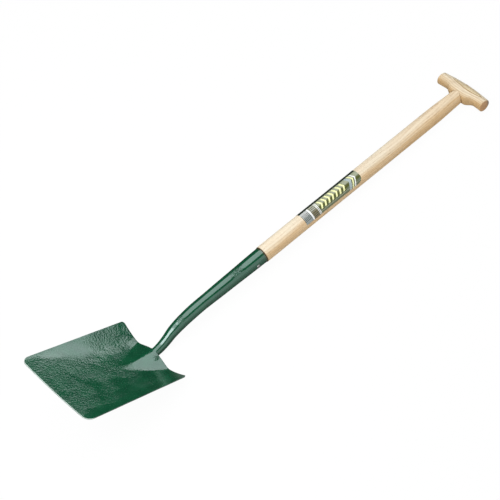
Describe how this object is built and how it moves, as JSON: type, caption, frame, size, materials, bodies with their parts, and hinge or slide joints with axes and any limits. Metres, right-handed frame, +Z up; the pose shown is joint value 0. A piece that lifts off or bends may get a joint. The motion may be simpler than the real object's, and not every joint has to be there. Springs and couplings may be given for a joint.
{
  "type": "square shovel",
  "caption": "Square-mouth shovel with a dished forged blade, swan neck and tapered socket, a round ash shaft and a wooden T grip, lying on its back.",
  "frame": {"origin": "middle of the bounding box's base, on the floor that the shovel lies on, on its heel and its grip", "axes": "+X from the blade's mouth towards the grip, +Y across the blade, +Z up out of the blade's hollow side"},
  "size_m": [1.182, 0.2198, 0.1387],
  "materials": {
    "green_paint": "gloss, slightly pebbled on the blade",
    "shaft_wood": "clear satin varnish",
    "grip_wood": "clear satin varnish",
    "wedge_wood": "sanded flush",
    "bare_steel": "bright",
    "printed_film": "thin printed film, no lettering"
  },
  "bodies": {
    "root": {"forged_head": "green_paint", "ash_shaft": "shaft_wood", "t_grip": "grip_wood", "tenon_wedge": "wedge_wood", "socket_rivet": "bare_steel", "label": "printed_film"}
  },
  "joints": []
}
